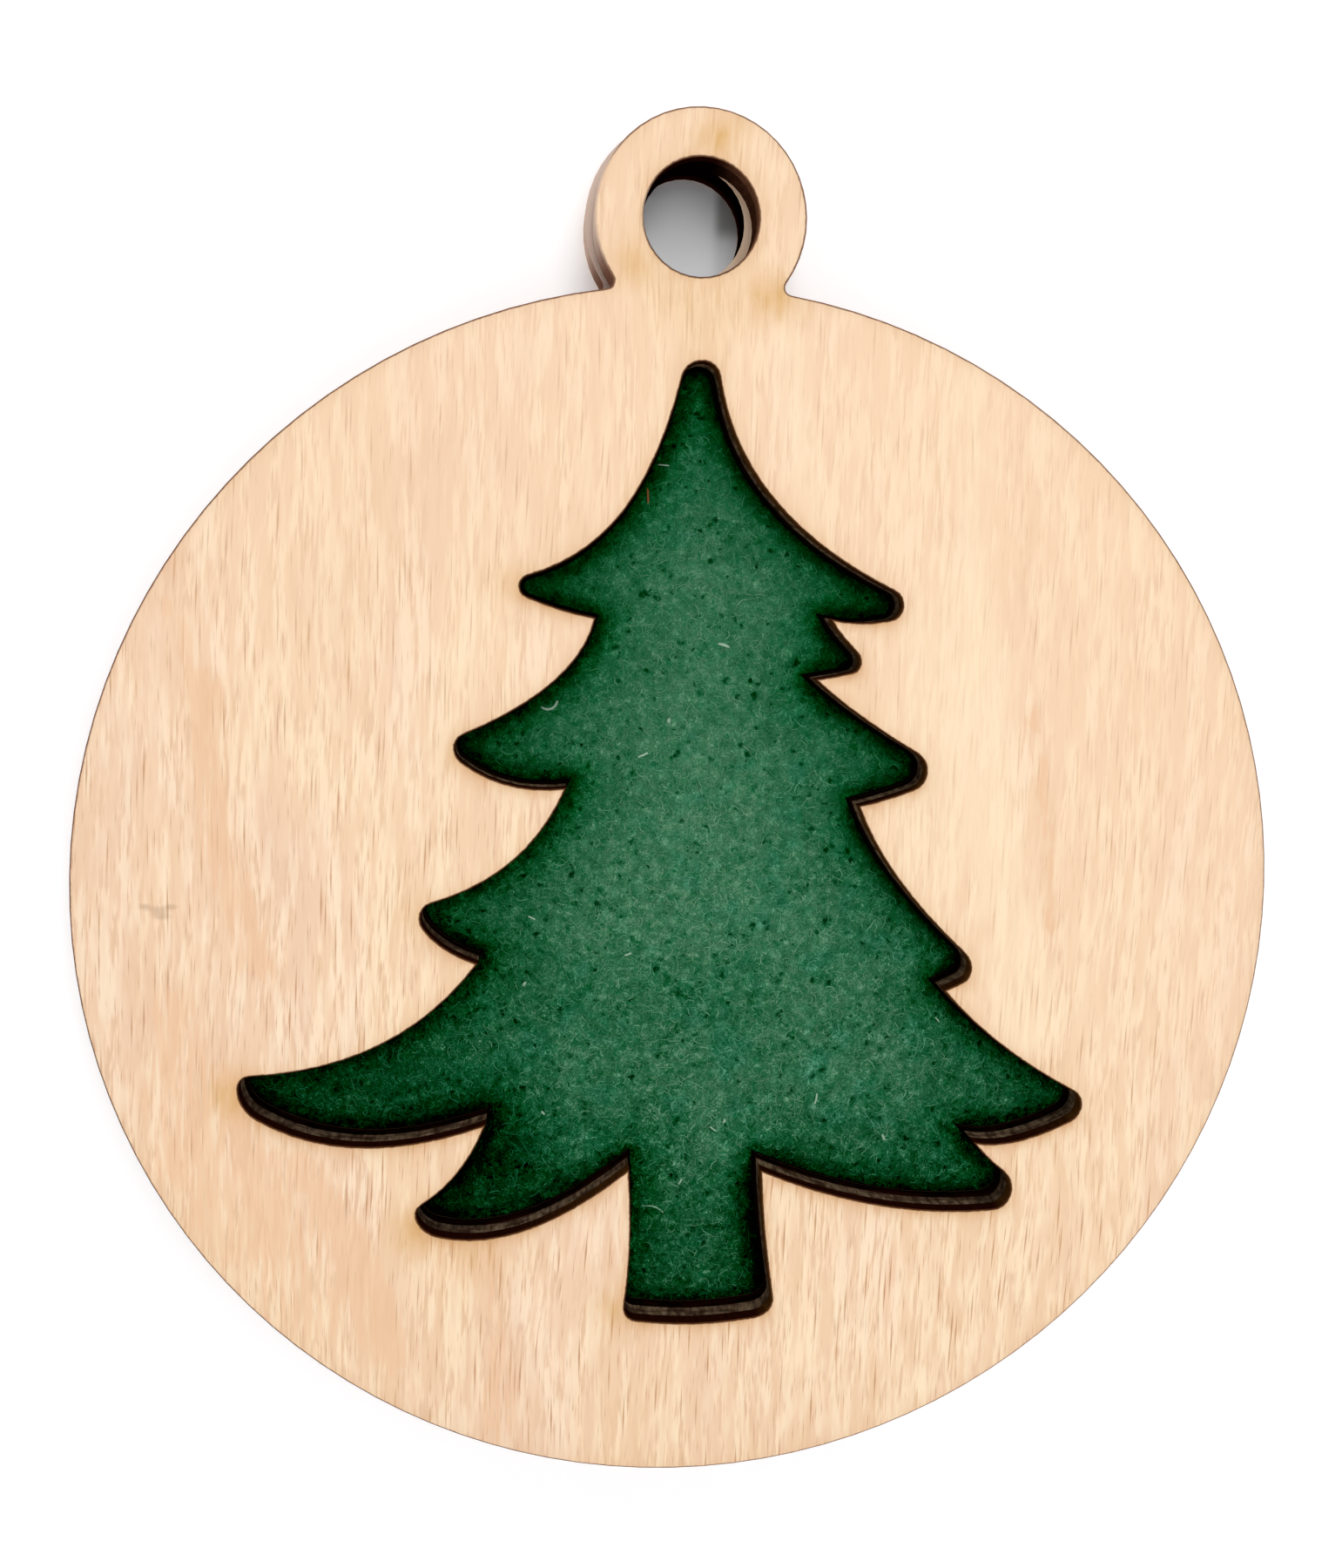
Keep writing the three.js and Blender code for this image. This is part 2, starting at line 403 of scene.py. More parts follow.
def walked(loop, step):
    """Points along a closed outline about a step apart, and the length of outline at each."""
    ends = np.roll(loop, -1, 0)
    sizes = np.linalg.norm(ends - loop, axis=1)
    counts = np.ceil(sizes / step).astype(int)
    parts = [start + (end - start) * (np.arange(count)[:, None] + 0.5) / count
             for start, end, count in zip(loop, ends, counts)]
    return np.vstack(parts), np.repeat(sizes / counts, counts)


def shade_reach(points, loop):
    """Distances from a straight wall at which the felt has as much shade as it has at the points."""
    walls, sizes = walked(loop, WALL_STEP)
    shade = np.zeros(len(points))
    for wall, size in zip(walls, sizes):
        gap = wall - points
        distance = np.maximum(np.hypot(*gap.T), TINY)
        lean = 1 - (gap @ WALL_LEAN) / distance
        shade += size * lean * np.exp(-distance / WALL_SPREAD)
    tried = np.geomspace(*LONG_WALL_REACHES)
    along = np.arange(-LONG_WALL, LONG_WALL, WALL_STEP)
    straight = np.exp(-np.hypot(tried[:, None], along) / WALL_SPREAD).sum(1) * WALL_STEP
    weakness = [-np.log(found + LEAST_SHADE) for found in (shade, straight)]
    return np.exp(np.interp(*weakness, np.log(tried)))


def below_edge(points, loop):
    """How far each point lies straight below the nearest place on the outline, from 0 to 1."""
    nearest = np.full(len(points), np.inf)
    up = np.zeros(len(points))
    for gap in segment_gaps(points, np.vstack([loop, loop[:1]])):
        distance = np.maximum(np.hypot(*gap.T), TINY)
        closer = distance < nearest
        nearest[closer] = distance[closer]
        up[closer] = (gap[:, 1] / distance)[closer]
    return smooth(up)


def spot_sum(points, spots):
    """The sum of soft round spots, each given as x, z, radius and strength."""
    total = np.zeros(len(points))
    for x, z, radius, strength in spots:
        total += strength * np.exp(-((points[:, 0] - x) ** 2 + (points[:, 1] - z) ** 2) / radius**2)
    return total


def band_sum(points, bands):
    """The sum of soft bands, each given as strength, width and points."""
    total = np.zeros(len(points))
    for strength, width, line in bands:
        total += strength * np.exp(-((line_distances(points, np.array(line)) / width) ** 2))
    return total


def smudge_sum(points, marks):
    """The strength of the smudge, from its oval marks."""
    total = np.zeros(len(points))
    for x, z, across, up in marks:
        total += np.exp(-((points[:, 0] - x) / across) ** 2 - ((points[:, 1] - z) / up) ** 2)
    return total


def inside(points, loops):
    """Whether each point is in the sheet between the outlines."""
    crossings = np.zeros(len(points), int)
    x, z = points.T
    for loop in loops:
        for (x0, z0), (x1, z1) in zip(loop, np.roll(loop, -1, 0)):
            if z0 != z1:
                crossed = (z0 > z) != (z1 > z)
                crossings += crossed & (x < x0 + (z - z0) / (z1 - z0) * (x1 - x0))
    return crossings % 2 == 1


def lattice(low, high, spacing):
    """Points in even rows from one corner to another."""
    x, z = np.meshgrid(np.arange(low[0], high[0], spacing), np.arange(low[1], high[1], spacing))
    return np.column_stack([x.ravel(), z.ravel()])


def grid_points(loops, spacing, clearance, seed):
    """Points all over a sheet, a little uneven, that stay clear of its outlines."""
    points = lattice(loops[0].min(0), loops[0].max(0), spacing)
    points += np.random.default_rng(seed).uniform(-GRID_UNEVEN, GRID_UNEVEN, points.shape) * spacing
    points = points[inside(points, loops)]
    return points[edge_distances(points, loops) > clearance]


def ring_points(loops, distances):
    """Points that follow the outlines at each of the distances."""
    found = []
    for distance in distances:
        ring = np.vstack([drawn_in(loop, distance) for loop in loops])
        ring = ring[inside(ring, loops)]
        found.append(ring[edge_distances(ring, loops) > RING_KEPT_SHARE * distance])
    return np.vstack(found)


def fill(loops, points):
    """Triangles over the outlines' points and the others, in that order, seen from -Y anticlockwise."""
    places = np.vstack([*loops, points]) if len(points) else np.vstack(loops)
    edges = []
    start = 0
    for loop in loops:
        index = np.arange(len(loop))
        edges += list(zip((start + index).tolist(), (start + (index + 1) % len(loop)).tolist()))
        start += len(loop)
    made = delaunay_2d_cdt([Vector(p) for p in places], edges, [], 1, TINY)
    origin = [same[0] for same in made[3]]
    triangles = np.array([[origin[i] for i in face] for face in made[2]])
    return triangles[inside(places[triangles].mean(1), loops)]


def strip(loops, front_start, back_start):
    """Quads between two rows of the outlines' points."""
    quads = []
    offset = 0
    for loop in loops:
        index = np.arange(len(loop))
        after = (index + 1) % len(loop)
        rows = [front_start + index, back_start + index, back_start + after, front_start + after]
        quads += (np.column_stack(rows) + offset).tolist()
        offset += len(loop)
    return quads


def linked(name, data):
    """A new object in the scene."""
    made = bpy.data.objects.new(name, data)
    bpy.context.scene.collection.objects.link(made)
    return made


def piece(name, places, faces, attributes, material):
    """A smooth-shaded mesh piece of the ornament, from places in millimetres, with its vertex values."""
    mesh = bpy.data.meshes.new(name)
    mesh.from_pydata((places * MM).tolist(), [], faces)
    for label, values in attributes.items():
        layer = mesh.attributes.new(label, "FLOAT", "POINT")
        layer.data.foreach_set("value", np.asarray(values, np.float32))
    mesh.shade_smooth()
    mesh.set_sharp_from_angle(angle=math.radians(SHARP_DEGREES))
    mesh.materials.append(material)
    made = linked(name, mesh)
    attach(made, "root")
    return made


def at_depth(points, y):
    """2-D points set at a depth, or at a depth each."""
    return np.column_stack([points[:, 0], np.broadcast_to(y, len(points)), points[:, 1]])


def face_ply(name, node, front, material):
    """A face ply with a burnt, softened arris. Its vertices carry the marks that the cuts left."""
    loops = outlines(node)
    depths = [corner.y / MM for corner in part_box(node)]
    outer_y, inner_y = depths if front else depths[::-1]
    toward = math.copysign(1, inner_y - outer_y)
    rims = [drawn_in(loop, arris) for loop, arris in zip(loops, ARRISES)]
    free = np.vstack([
        ring_points(loops, EDGE_RINGS),
        grid_points(loops, FACE_GRID, EDGE_RINGS[-1] + FACE_GRID / 2, FACE_GRID_SEED),
        smudge_points() if front else np.empty((0, 2)),
    ])
    cap = np.vstack([*rims, free])
    outline = np.vstack(loops)
    arris_depth = np.concatenate([np.full(len(loop), arris) for loop, arris in zip(loops, ARRISES)])
    places = np.vstack([
        at_depth(cap, outer_y),
        at_depth(outline, outer_y + toward * arris_depth),
        at_depth(outline, inner_y),
    ])
    arris_row = len(cap)
    inner_row = arris_row + len(outline)
    faces = fill(rims, free).tolist()
    faces += strip(loops, 0, arris_row) + strip(loops, arris_row, inner_row)
    faces += (fill(loops, [])[:, ::-1] + inner_row).tolist()
    if toward < 0:
        faces = [face[::-1] for face in faces]
    flat = places[:, [0, 2]]
    gaps = loop_distances(flat, loops)
    nearest = gaps.argmin(0)
    scorch = np.array(SCORCH_SHARES)[: len(loops), None] * np.exp(-gaps / SCORCH_REACH)
    if front:
        scorch[-1] *= SCORCH_SIDE_SHARE + (1 - SCORCH_SIDE_SHARE) * below_edge(flat, loops[-1])
    values = {
        "edge": gaps.min(0),
        "scorch": scorch.max(0),
        "burn": np.array(BURN_SHARES)[nearest],
        "toast": spot_sum(flat, TOASTED_SPOTS if front else ()),
        "figure": band_sum(flat, WOOD_BANDS if front else ()),
        "smudge": smudge_sum(flat, SMUDGE if front else ()),
    }
    made = piece(name, places, faces, values, material)
    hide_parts(node)


def smudge_points():
    """A fine patch of points at the smudge."""
    low = np.min(SMUDGE, 0)[:2] - SMUDGE_MARGIN
    high = np.max(SMUDGE, 0)[:2] + SMUDGE_MARGIN
    return lattice(low, high, SMUDGE_GRID)


class FeltBed:
    """The felt tree's outline, the depth of its back and its thickness, with the pits in its surface."""

    def __init__(self, node):
        low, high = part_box(node)
        self.back_y = high.y / MM
        self.thickness = (high.y - low.y) / MM
        self.loops = outlines(node)
        self.scatter_pits(np.random.default_rng(PIT_SEED))
        self.pit_tree = KDTree(len(self.pits))
        for index, (x, z) in enumerate(self.pits):
            self.pit_tree.insert((x, z, 0), index)
        self.pit_tree.balance()

    def scatter_pits(self, rng):
        """Places the pits, small ones more often than large ones, each with its own strength."""
        low, high = self.loops[0].min(0), self.loops[0].max(0)
        count = int(np.prod(high - low) * PIT_DENSITY)
        places = rng.uniform(low, high, (count, 2))
        smallest, largest = PIT_RADII
        radii = smallest + (largest - smallest) * rng.uniform(0, 1, count) ** 2
        strengths = rng.uniform(*PIT_STRENGTHS, count)
        clear = inside(places, self.loops) & (edge_distances(places, self.loops) > PIT_EDGE_GAP)
        self.pits = places[clear]
        self.pit_radii = radii[clear]
        self.pit_strengths = strengths[clear]

    def pit_mesh_points(self):
        """Points in and round each pit, for the mesh to follow."""
        found = [self.pits]
        for share, count in PIT_MESH_RINGS:
            turns = np.arange(count) * 2 * math.pi / count
            ring = share * np.column_stack([np.cos(turns), np.sin(turns)])
            found.append((self.pits[:, None] + ring * self.pit_radii[:, None, None]).reshape(-1, 2))
        return np.vstack(found)

    def pit_shares(self, points):
        """How far each point lies into a pit, ragged round its rim, and the radius of that pit."""
        spacing, size = PIT_RAGGED
        ragged = np.column_stack([value_noise(points, spacing, seed) for seed in PIT_RAGGED_SEEDS])
        nearest = [self.pit_tree.find((x, z, 0))[1:] for x, z in points + size * ragged]
        index, gap = np.array(nearest).T
        index = index.astype(int)
        radii = self.pit_radii[index]
        return self.pit_strengths[index] * smooth(1 - gap / radii), radii

    def height(self, points, edge):
        """The felt's height above its glue: thin at the melted edge, lumpy and pitted inside."""
        rise = FELT_EDGE_SHARE + (1 - FELT_EDGE_SHARE) * smooth(edge / FELT_EDGE_WIDTH)
        height = self.thickness * rise
        calm = smooth(edge / FELT_CALM_WIDTH)
        for seed, (spacing, size) in zip(LUMP_SEEDS, FELT_LUMPS):
            height += calm * size * value_noise(points, spacing, seed)
        share, radius = self.pit_shares(points)
        return height - PIT_DEPTH * share * radius

    def values(self, points):
        """The felt's brightness with its painted shade, the light that the points get and how much teal
        they have.
        """
        nearest = edge_distances(points, self.loops)
        summed = shade_reach(points, self.loops[0])
        reach = nearest + WALL_SUM_SHARE * (summed - nearest)
        green = np.interp(reach, *zip(*FELT_SHADED_GREENS)) - band_sum(points, FELT_SHADES)
        teal = band_sum(points, FELT_TEALS)
        return {"level": green / 255, "lit": np.interp(reach, *zip(*FELT_LIGHT)), "teal": teal}


def felt_sheet(bed, material):
    """The felt tree, a lumpy and pitted sheet on its glue film."""
    loops = bed.loops
    grid = grid_points(loops, FELT_GRID, FELT_EDGE_RINGS[-1] + FELT_GRID / 2, FELT_GRID_SEED)
    grid = grid[bed.pit_shares(grid)[0] == 0]
    free = np.vstack([ring_points(loops, FELT_EDGE_RINGS), grid, bed.pit_mesh_points()])
    cap = np.vstack([*loops, free])
    outline = np.vstack(loops)
    edge = edge_distances(cap, loops)
    front = at_depth(cap, bed.back_y - bed.height(cap, edge))
    places = np.vstack([front, at_depth(outline, bed.back_y)])
    faces = fill(loops, free).tolist() + strip(loops, 0, len(cap))
    faces += (fill(loops, [])[:, ::-1] + len(cap)).tolist()
    flat = np.vstack([cap, outline])
    values = {**bed.values(flat), "pit": bed.pit_shares(flat)[0]}
    made = piece("felt_tree", places, faces, values, material)
    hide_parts("felt_insert")
    return made


def strands(name, bed, seed, material):
    """Loose curled fibres that lie on the felt and dip into it at their ends."""
    loops = bed.loops
    rng = np.random.default_rng(seed)
    low, high = loops[0].min(0), loops[0].max(0)
    start = rng.uniform(low, high, (STRAND_COUNT * STRAND_TRIES, 2))
    heading = rng.uniform(0, 2 * math.pi, len(start))
    length = rng.uniform(*STRAND_LENGTHS, len(start))
    curl = rng.normal(0, STRAND_CURL, len(start))
    path = [start]
    for wander in rng.normal(0, STRAND_WANDER, (STRAND_STEPS, len(start))):
        heading = heading + curl / STRAND_STEPS + wander
        reach = (length / STRAND_STEPS)[:, None]
        path.append(path[-1] + reach * np.column_stack([np.cos(heading), np.sin(heading)]))
    path = np.array(path).transpose(1, 0, 2)
    ends = path[:, [0, STRAND_STEPS // 2, -1]].reshape(-1, 2)
    clear = inside(ends, loops) & (edge_distances(ends, loops) > STRAND_EDGE_GAP)
    kept = path[clear.reshape(-1, 3).all(1)]
    in_pit = bed.pit_shares(kept[:, 1:-1].reshape(-1, 2))[0].reshape(len(kept), -1).max(1)
    kept = kept[in_pit < STRAND_PIT_SHARE][:STRAND_COUNT]
    radii = rng.uniform(*STRAND_RADII, len(kept))
    tones = rng.uniform(0, 1, len(kept))
    return laid(name, kept, radii, tones, bed, material)


def laid(name, paths, radii, tones, bed, material):
    """Fibres laid on the felt along flat paths, as one piece."""
    flat = paths.reshape(-1, 2)
    edge = edge_distances(flat, bed.loops)
    ground = bed.height(flat, edge).reshape(len(paths), -1)
    share = np.linspace(0, 1, paths.shape[1])
    arch = radii[:, None] * (STRAND_ARCH * np.sin(math.pi * share) - STRAND_SINK)
    lines = np.dstack([paths[:, :, 0], bed.back_y - ground - arch, paths[:, :, 1]])
    places, faces = tubes(lines, radii)
    values = {**bed.values(paths[:, paths.shape[1] // 2]), "tone": tones}
    corners = 2 + (paths.shape[1] - 2) * STRAND_SIDES
    values = {label: np.repeat(found, corners) for label, found in values.items()}
    return piece(name, places, faces, values, material)


def tubes(lines, radii):
    """Thin tubes with pointed ends along lines of points: their places, tube by tube, and faces."""
    count, steps = lines.shape[:2]
    along = np.gradient(lines, axis=1)
    side = np.cross(along, (0.0, 1.0, 0.0))
    side /= np.linalg.norm(side, axis=2)[:, :, None]
    over = np.cross(side, along)
    over /= np.linalg.norm(over, axis=2)[:, :, None]
    turns = np.arange(STRAND_SIDES) * 2 * math.pi / STRAND_SIDES
    rings = [lines + (side * math.cos(a) + over * math.sin(a)) * radii[:, None, None] for a in turns]
    inner = np.stack(rings, axis=2)[:, 1:-1].reshape(count, -1, 3)
    places = np.concatenate([lines[:, :1], inner, lines[:, -1:]], axis=1)
    size = places.shape[1]
    first = 1 + np.arange(STRAND_SIDES)
    last = first + (steps - 3) * STRAND_SIDES
    one = [(0, a, b) for a, b in zip(np.roll(first, -1), first)]
    one += [(size - 1, a, b) for a, b in zip(last, np.roll(last, -1))]
    for ring in range(steps - 3):
        here = first + ring * STRAND_SIDES
        beyond = here + STRAND_SIDES
        one += list(zip(here, np.roll(here, -1), np.roll(beyond, -1), beyond))
    starts = np.arange(count) * size
    faces = [[int(i) + int(start) for i in face] for start in starts for face in one]
    return places.reshape(-1, 3), faces


def bent_path(x, z, length, heading, turn):
    """A flat path that starts at a point, in a direction in degrees, and turns evenly."""
    angles = np.radians(heading + turn * (np.arange(LINT_STEPS) + 0.5) / LINT_STEPS)
    step = np.column_stack([np.cos(angles), np.sin(angles)]) * length / LINT_STEPS
    return np.vstack([[x, z], np.cumsum(step, 0) + (x, z)])


def bits(name, paths, bed, material):
    """Bits of foreign fibre on the felt."""
    lines = np.array([bent_path(*path) for *path, radius in paths])
    radii = np.array([radius for *path, radius in paths])
    return laid(name, lines, radii, np.ones(len(lines)), bed, material)


class Shader:
    """A material or world under construction. Its methods add nodes and return an output of theirs."""

    def __init__(self, name, world=False):
        self.made = (bpy.data.worlds if world else bpy.data.materials).new(name)
        self.made.use_nodes = True
        self.tree = self.made.node_tree
        self.tree.nodes.clear()

    def add(self, kind, inputs, output=0, **settings):
        node = self.tree.nodes.new(kind)
        for setting, value in settings.items():
            setattr(node, setting, value)
        for name, value in inputs.items():
            socket = node.inputs[name]
            if isinstance(value, bpy.types.NodeSocket):
                self.tree.links.new(value, socket)
            else:
                socket.default_value = value
        return node.outputs[output]

    def place(self):
        """Object coordinates in millimetres."""
        found = self.add("ShaderNodeTexCoord", {}, "Object")
        return self.add("ShaderNodeMapping", {"Vector": found, "Scale": (1 / MM,) * 3})

    def axis(self, vector, name):
        """One of a vector's three parts."""
        return self.add("ShaderNodeSeparateXYZ", {"Vector": vector}, name)

    def facing(self):
        """The direction that the surface faces."""
        return self.add("ShaderNodeTexCoord", {}, "Normal")

    def noise(self, vector, scales, detail=2.0, roughness=0.5, shift=0.0, output="Fac", distortion=0.0):
        """Noise with so many hills to a millimetre, given as one number or for X, Y and Z."""
        scales = (scales,) * 3 if isinstance(scales, float) else scales
        mapped = {"Vector": vector, "Scale": scales, "Location": (shift,) * 3}
        inputs = {"Vector": self.add("ShaderNodeMapping", mapped), "Scale": 1.0, "Detail": detail}
        inputs.update(Roughness=roughness, Distortion=distortion)
        return self.add("ShaderNodeTexNoise", inputs, output)

    def step(self, value, low, high, to_low=0.0, to_high=1.0):
        """A soft step between two values."""
        inputs = {"Value": value, 1: low, 2: high, 3: to_low, 4: to_high}
        return self.add("ShaderNodeMapRange", inputs, interpolation_type="SMOOTHSTEP")

    def math(self, operation, first, second=0.0, third=0.0):
        inputs = {0: first, 1: second, 2: third}
        return self.add("ShaderNodeMath", inputs, operation=operation)

    def scaled(self, value, factor, offset):
        """The value times the factor, plus the offset."""
        return self.math("MULTIPLY_ADD", value, factor, offset)

    def value(self, attribute):
        """A value that the piece's vertices carry."""
        return self.add("ShaderNodeAttribute", {}, "Fac", attribute_name=attribute)

    def mix(self, share, first, second, blend="MIX"):
        inputs = {0: share, 6: first, 7: second}
        return self.add("ShaderNodeMix", inputs, 2, data_type="RGBA", blend_type=blend)

    def times(self, base, factor):
        """A colour times a number or another colour."""
        return self.mix(1.0, base, factor, "MULTIPLY")

    def bump(self, height, strength, distance):
        inputs = {"Height": height, "Strength": strength, "Distance": distance * MM}
        return self.add("ShaderNodeBump", inputs)

    def ramp(self, value, stops):
        """Colours that follow a value, each given as the value's place and a colour."""
        found = self.add("ShaderNodeValToRGB", {0: value})
        elements = found.node.color_ramp.elements
        while len(elements) < len(stops):
            elements.new(0.5)
        for element, (place, shade) in zip(elements, stops):
            element.position = place
            element.color = shade
        return found

    def spread(self, place, middle):
        """The distance in the ornament's plane from a point of it."""
        flat = self.add("ShaderNodeVectorMath", {0: place, 1: (1.0, 0.0, 1.0)}, operation="MULTIPLY")
        point = (middle[0], 0.0, middle[1])
        return self.add("ShaderNodeVectorMath", {0: flat, 1: point}, "Value", operation="DISTANCE")

    def surface(self, **inputs):
        """Ends the material in a Principled surface with these inputs."""
        named = {key.replace("_", " "): value for key, value in inputs.items()}
        return self.finish(self.add("ShaderNodeBsdfPrincipled", named))

    def finish(self, shader, kind="ShaderNodeOutputMaterial"):
        end = self.tree.nodes.new(kind)
        self.tree.links.new(shader, end.inputs["Surface"])
        return self.made


def colour(red, green, blue):
    """A linear colour from one written 0 to 255, as screens show it."""
    shares = [c / 255 for c in (red, green, blue)]
    linear = [s / 12.92 if s <= 0.04045 else ((s + 0.055) / 1.055) ** 2.4 for s in shares]
    return (*linear, 1.0)


def flecks(shader, bent, across, along, share, shift):
    """Short upright spindles, from 0 to share, each of its own strength, so many to a millimetre."""
    x = shader.scaled(shader.axis(bent, "X"), across, shift)
    z = shader.scaled(shader.axis(bent, "Z"), along, shift)
    vector = shader.add("ShaderNodeCombineXYZ", {"X": x, "Y": z})
    inputs = {"Vector": vector, "Scale": 1.0}
    settings = {"voronoi_dimensions": "2D", "distance": "MANHATTAN"}
    near = shader.add("ShaderNodeTexVoronoi", inputs, "Distance", **settings)
    chance = shader.add("ShaderNodeSeparateColor", {"Color": near.node.outputs["Color"]}, "Red")
    size = shader.add("ShaderNodeMapRange", {"Value": chance, 1: 0.0, 2: 1.0, 3: 0.05, 4: 0.3})
    body = shader.math("SUBTRACT", 1.0, shader.math("DIVIDE", near, size))
    strength = shader.step(chance, 0.2, 1.0, 0.0, share)
    return shader.math("MULTIPLY", shader.step(body, 0.0, 0.7), strength)


def beech_colour(shader, place):
    """The colour and height of pale beech, streaked upright and flecked, plainest at its top right."""
    lean = {"Vector": place, "Rotation": (0.0, -math.radians(GRAIN_LEAN_DEGREES), 0.0)}
    upright = shader.add("ShaderNodeMapping", lean)
    warp = shader.noise(upright, (0.12, 0.12, 0.06), 1.0, shift=3.0, output="Color")
    bent = shader.add("ShaderNodeVectorMath", {0: upright, 1: warp}, operation="ADD")
    fine = shader.noise(bent, (6.5, 6.5, 0.5), roughness=0.55)
    middling = shader.noise(bent, (2.6, 2.6, 0.35), shift=5.0)
    broad = shader.noise(bent, (1.4, 1.4, 0.2), shift=8.0)
    patch = shader.noise(bent, (0.6, 0.6, 0.12), 3.0, 0.6, shift=11.0)
    base = shader.mix(shader.step(fine, 0.42, 0.58), colour(233, 197, 163), colour(255, 227, 195))
    base = shader.mix(shader.step(middling, 0.4, 0.6, 0.0, 0.85), base, colour(255, 232, 201))
    base = shader.mix(shader.step(broad, 0.44, 0.62, 0.0, 0.8), base, colour(241, 205, 171))
    base = shader.mix(shader.step(patch, 0.48, 0.68, 0.0, 0.5), base, colour(238, 202, 172))
    rosy = shader.noise(bent, (0.16, 0.16, 0.05), shift=23.0)
    base = shader.times(base, shader.mix(shader.step(rosy, 0.4, 0.62), YELLOWISH, ROSY))
    along = shader.scaled(shader.axis(place, "X"), 0.5, shader.axis(place, "Z"))
    lower = shader.step(along, -60.0, -8.0, 1.0, 0.0)
    base = shader.mix(shader.scaled(lower, -0.42, 0.48), base, colour(251, 219, 186))
    large = flecks(shader, bent, 3.4, 0.13, 0.66, 3.0)
    small = flecks(shader, bent, 6.0, 0.3, 0.44, 17.0)
    dark = shader.math("MAXIMUM", large, small)
    dark = shader.math("MULTIPLY", dark, shader.scaled(lower, 0.75, 0.53))
    base = shader.mix(dark, base, colour(196, 143, 103))
    return base, shader.math("SUBTRACT", fine, shader.math("MULTIPLY", dark, 0.6))


def painted_left_light(shader, place):
    """Painted light on the walls of the front panel that face the ornament's left side: how far each faces
    it, from 0 to 1.
    """
    left = shader.step(shader.axis(shader.facing(), "X"), -0.9, -0.2, 1.0, 0.0)
    front = shader.math("LESS_THAN", shader.axis(place, "Y"), 0.0)
    return shader.math("MULTIPLY", left, front)


def in_hole(shader, place):
    """1 at the walls of the hanging hole and 0 elsewhere."""
    return shader.math("LESS_THAN", shader.spread(place, HOLE_MIDDLE), HOLE_ZONE)


def beech_face():
    """The sanded face: bare beech, scorched near the cuts, with a burnt line along every edge."""
    shader = Shader("beech_face")
    place = shader.place()
    base, height = beech_colour(shader, place)
    uneven = shader.noise(place, (1.4, 1.4, 0.5), 3.0)
    ragged = shader.noise(place, (3.0, 3.0, 0.3), 3.0)
    band = shader.math("MULTIPLY", shader.value("figure"), shader.step(ragged, 0.3, 0.7, 0.5, 1.2))
    base = shader.mix(shader.step(band, 0.0, 1.0, 0.0, 0.5), base, colour(231, 188, 151))
    base = shader.mix(shader.step(band, 0.42, 0.6, 0.0, 0.4), base, colour(244, 200, 162))
    base = shader.mix(shader.step(band, -1.0, 0.0, 0.6, 0.0), base, colour(255, 231, 197))
    toast = shader.math("MULTIPLY", shader.value("toast"), shader.step(uneven, 0.3, 0.7, 0.6, 1.2))
    base = shader.mix(toast, base, colour(222, 176, 112))
    scorch = shader.math("MULTIPLY", shader.value("scorch"), shader.step(uneven, 0.3, 0.7, 0.75, 1.15))
    base = shader.mix(scorch, base, colour(206, 158, 108))
    base = shader.mix(shader.step(shader.value("smudge"), 0.1, 1.0, 0.0, 0.38), base, colour(170, 136, 108))
    edge = shader.value("edge")
    burn = shader.value("burn")
    wobble = shader.noise(place, 4.0)
    reach = shader.scaled(wobble, -0.07, edge)
    rim = shader.mix(burn, colour(140, 102, 80), colour(84, 50, 28))
    # Paler at the loop's left side: less burn and painted light
    rim = shader.mix(bareness_and_painted_light(shader, place), rim, colour(222, 192, 166))
    base = shader.mix(shader.step(reach, 0.02, 0.11, 1.0, 0.0), base, rim)
    grain = shader.noise(place, (5.0, 0.8, 5.0), 3.0, 0.6)
    pale = rim_wall(shader, place, grain)
    dark = shader.mix(grain, colour(12, 2, 0), colour(52, 18, 8))
    # Painted light on the walls that face the left, stronger in the hole
    painted_lit_wall = shader.mix(grain, colour(40, 14, 2), colour(104, 66, 26))
    painted_lit_hole_wall = shader.mix(grain, colour(84, 38, 18), colour(160, 112, 84))
    painted_lit_wall = shader.mix(in_hole(shader, place), painted_lit_wall, painted_lit_hole_wall)
    dark = shader.mix(painted_left_light(shader, place), dark, painted_lit_wall)
    wall = shader.mix(shader.step(burn, 0.3, 0.5), pale, dark)
    base = shader.mix(shader.step(edge, 0.005, 0.03, 1.0, 0.0), base, wall)
    normal = shader.bump(height, 0.3, 0.03)
    return shader.surface(Base_Color=base, Roughness=0.7, Normal=normal, Specular_IOR_Level=0.0)


def rim_wall(shader, place, stripes):
    """The wall round the outside: lightly burnt and paler, partly as painted sheen, with painted light at
    the loop's left side and, towards the loop's left neck, darker with soot and painted shade.
    """
    pale = shader.mix(stripes, colour(150, 122, 108), colour(196, 166, 150))
    sooty_and_shaded = shader.mix(stripes, colour(112, 74, 56), colour(158, 116, 96))
    pale = shader.mix(bareness_and_painted_light(shader, place), pale, colour(226, 200, 182))
    # Darker towards the loop's left neck: soot and painted shade
    soot = shader.step(shader.spread(place, LEFT_NECK), 0.8, 3.8, 1.0, 0.0)
    return shader.mix(soot, pale, sooty_and_shaded)


def bareness_and_painted_light(shader, place):
    """How little the cut is burnt at the loop's left side, and its painted light and sheen there, from 0 to
    1.
    """
    return shader.step(shader.spread(place, LOOP_LEFT), 1.6, 4.4, 1.0, 0.0)


